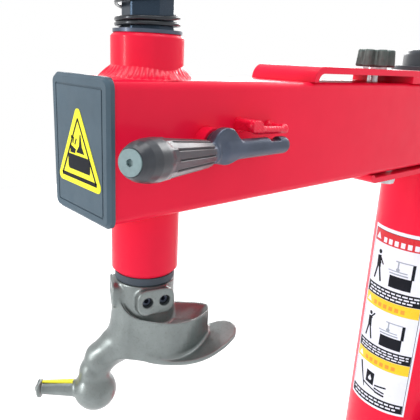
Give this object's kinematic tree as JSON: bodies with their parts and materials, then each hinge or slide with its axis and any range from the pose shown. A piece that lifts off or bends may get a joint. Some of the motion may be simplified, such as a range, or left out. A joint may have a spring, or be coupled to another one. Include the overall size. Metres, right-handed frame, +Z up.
{
  "type": "tyre changer swing arm with mounting head",
  "caption": "Swing arm of a tyre changer on a round column, with a sprung hexagon bar that carries a duck-shaped mounting head and a lock lever.",
  "frame": {"origin": "centre of the column's foot face, which is bolted to the machine", "axes": "+Z up along the column, the arm's free end towards -X, the lock lever on the -Y side"},
  "size_m": [0.8589, 0.29, 1.235],
  "materials": {
    "red_paint": "glossy red powder coat",
    "label_face": "printed vinyl label, plain bands and pictograms",
    "label_yellow": "printed yellow vinyl label",
    "cap_plastic": "dark blue-grey moulded plastic",
    "black_plastic": "black moulded plastic",
    "grey_plastic": "grey-green moulded plastic",
    "yellow_plastic": "yellow moulded plastic",
    "rubber": "dark moulded rubber",
    "cast_steel": "satin cast and polished steel",
    "star_cast": "rough grey-green cast metal",
    "bar_steel": "blue-black oiled drawn steel",
    "lever_steel": "dark blackened steel",
    "spring_steel": "black oiled spring wire",
    "machined_steel": "turned bright steel",
    "zinc_steel": "zinc-plated fastener",
    "bronze": "sintered bronze"
  },
  "bodies": {
    "column": {"column_foot": "red_paint", "column_tube": "red_paint", "column_cap_plate": "red_paint", "post_lower_ring": "red_paint", "pivot_post": "machined_steel", "thrust_washer_lower": "bronze", "thrust_washer_upper": "black_plastic", "pivot_nut": "machined_steel", "pivot_cover": "black_plastic", "knob_boss": "red_paint", "column_label": "label_face"},
    "swing_arm": {"arm_beam": "red_paint", "pivot_tube": "red_paint", "pivot_bush_lower": "bronze", "pivot_bush_upper": "bronze", "top_plate": "red_paint", "top_spacer": "red_paint", "bottom_plate": "red_paint", "plate_bolts": "zinc_steel", "plate_nuts": "zinc_steel", "guide_tube": "red_paint", "collar_weld": "red_paint", "sleeve_weld": "red_paint", "hex_guide_upper": "bronze", "hex_guide_lower": "bronze", "end_cap": "cap_plastic", "rear_cap": "cap_plastic", "end_cap_label": "label_yellow", "lever_stop": "red_paint", "lever_bush_near": "red_paint", "lever_bush_far": "bronze", "star_washer": "zinc_steel", "star_nut": "zinc_steel", "spring_seat": "lever_steel", "return_spring": "spring_steel"},
    "lock_lever": {"cam_shaft": "lever_steel", "lever": "lever_steel", "lever_pin": "zinc_steel", "lever_grip": "black_plastic", "grip_plug": "grey_plastic", "shaft_clip": "zinc_steel", "shaft_washer": "zinc_steel"},
    "slide_bar": {"hex_bar": "bar_steel", "bump_ring": "rubber", "duck_head": "cast_steel", "peg_guard": "yellow_plastic", "set_screws": "lever_steel", "head_washer": "zinc_steel", "head_bolt": "zinc_steel", "spring_washer": "zinc_steel", "bar_top_cap": "black_plastic", "bar_top_bolt": "zinc_steel"},
    "star_clamp": {"star_knob": "star_cast", "star_stud": "zinc_steel"},
    "knob_clamp": {"column_knob": "black_plastic", "knob_stud": "zinc_steel"}
  },
  "joints": [
    {"name": "arm_swing", "type": "hinge", "parent": "column", "child": "swing_arm", "pos_m": [0, 0, 0.84], "axis": [0, 0, 1], "range_deg": [-10, 100]},
    {"name": "bar_slide", "type": "slide", "parent": "swing_arm", "child": "slide_bar", "axis": [0, 0, -1], "range_m": [0, 0.18], "stiffness_N_per_m": 950, "springref_m": -0.17, "deforming": ["return_spring"]},
    {"name": "lever_turn", "type": "hinge", "parent": "swing_arm", "child": "lock_lever", "pos_m": [-0.582, -0.074, 0.846], "axis": [0, 1, 0], "range_deg": [0, 75]},
    {"name": "star_turn", "type": "hinge", "parent": "swing_arm", "child": "star_clamp", "pos_m": [-0.236, 0, 0.92], "axis": [0, 0, 1], "continuous": true},
    {"name": "knob_turn", "type": "hinge", "parent": "column", "child": "knob_clamp", "pos_m": [-0.02661, -0.10673, 0.262], "axis": [-0.2419, -0.9703, 0], "continuous": true}
  ]
}
